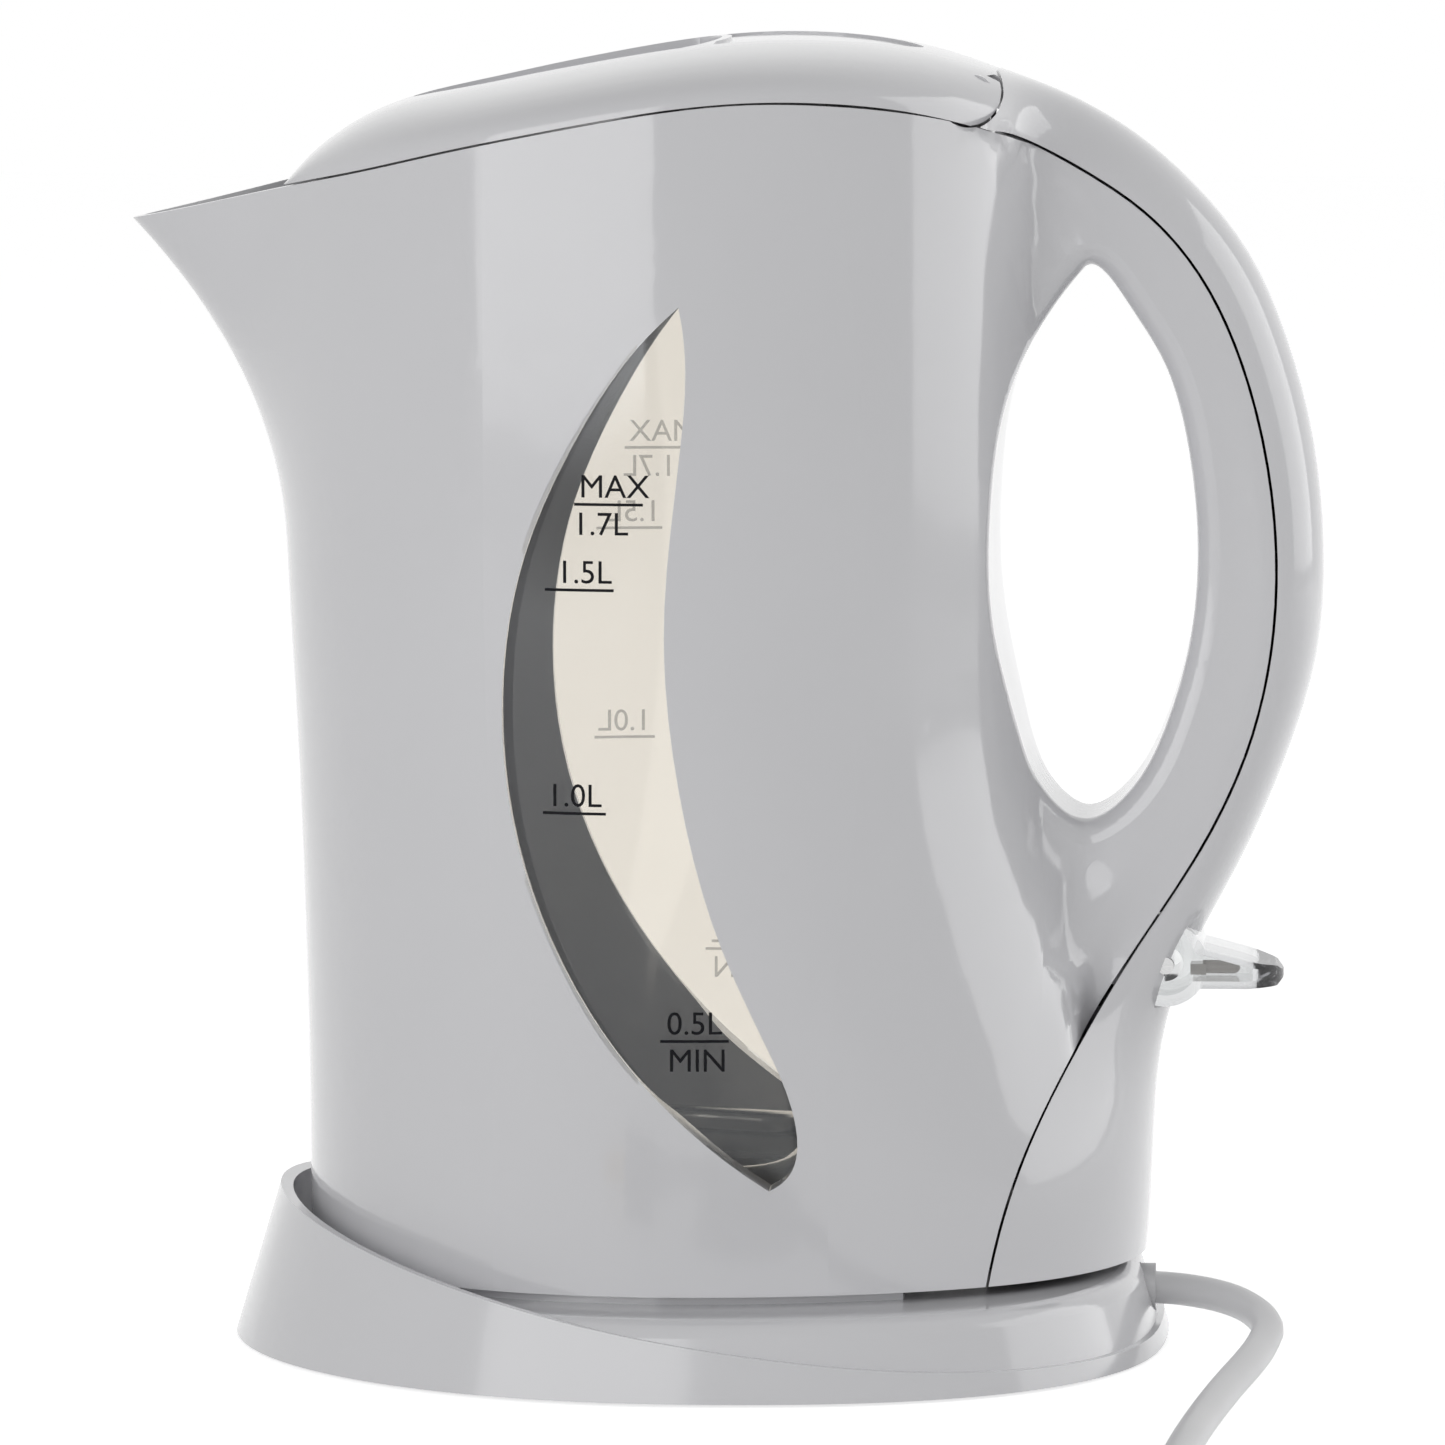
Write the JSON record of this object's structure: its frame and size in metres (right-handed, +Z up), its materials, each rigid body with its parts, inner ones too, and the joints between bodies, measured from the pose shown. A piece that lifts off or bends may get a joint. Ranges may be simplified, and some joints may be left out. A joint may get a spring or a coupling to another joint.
{
  "type": "electric jug kettle",
  "caption": "Cordless electric jug kettle with a spout, hinged lid with a finger scoop, hollow loop handle, crescent water windows and a round power base with a mains lead.",
  "frame": {"origin": "centre of the overall length and width of base, jug and lid, on the table under the feet", "axes": "+X from the spout towards the handle, +Z up, Y = 0 is the plane of symmetry"},
  "size_m": [0.2131, 0.36, 0.2329],
  "materials": {
    "body_plastic": "satin gloss",
    "window_plastic": "clear gloss",
    "clear_plastic": "clear gloss",
    "dark_plastic": "matte",
    "cord_plastic": "satin",
    "foot_rubber": "matte",
    "element_steel": "polished",
    "steel": "bright",
    "brass": "bright",
    "lamp_glass": "clear"
  },
  "bodies": {
    "power_base": {"base_cover": "body_plastic", "base_bottom_plate": "body_plastic", "base_feet": "foot_rubber", "base_screws": "steel", "socket_housing": "dark_plastic", "socket_contacts": "brass", "cord_bush": "cord_plastic", "cord_clamp": "dark_plastic", "cord_clamp_screws": "steel", "mains_cord": "cord_plastic", "cord_coil": "cord_plastic", "cord_tie": "dark_plastic", "cord_tail": "cord_plastic", "plug_body": "cord_plastic", "plug_pins": "brass"},
    "jug": {"jug_body": "body_plastic", "water_window_left": "window_plastic", "water_window_right": "window_plastic", "handle_cover": "body_plastic", "jug_bottom_cover": "dark_plastic", "jug_bottom_screws": "steel", "element_head": "element_steel", "element_seal": "foot_rubber", "element_coil": "element_steel", "control_body": "dark_plastic", "control_screws": "steel", "boil_dry_disc": "steel", "steam_disc": "steel", "inlet_pins": "brass", "steam_tube": "dark_plastic", "switch_pivot_pin": "steel", "lid_hinge_pins": "body_plastic"},
    "lid": {"lid_top": "body_plastic", "lid_under_plate": "body_plastic", "lid_screws": "steel"},
    "switch": {"switch_lever": "clear_plastic", "pilot_lamp": "lamp_glass"},
    "pusher": {"contact_pusher": "dark_plastic"}
  },
  "joints": [
    {"name": "jug_lift", "type": "slide", "parent": "power_base", "child": "jug", "axis": [0, 0, 1], "range_m": [0, 0.08]},
    {"name": "lid_hinge", "type": "hinge", "parent": "jug", "child": "lid", "pos_m": [0.0448, 0, 0.2236], "axis": [0, 1, 0], "range_deg": [0, 60]},
    {"name": "switch_rock", "type": "hinge", "parent": "jug", "child": "switch", "pos_m": [0.07892, 0, 0.0683], "axis": [0, 1, 0], "range_deg": [0, 14]},
    {"name": "pusher_slide", "type": "slide", "parent": "jug", "child": "pusher", "axis": [-1, 0, 0], "range_m": [0, 0.0016]}
  ],
  "couplings": [
    {"joint": "pusher_slide", "follows": "switch_rock", "m_per_rad": 0.0062}
  ]
}
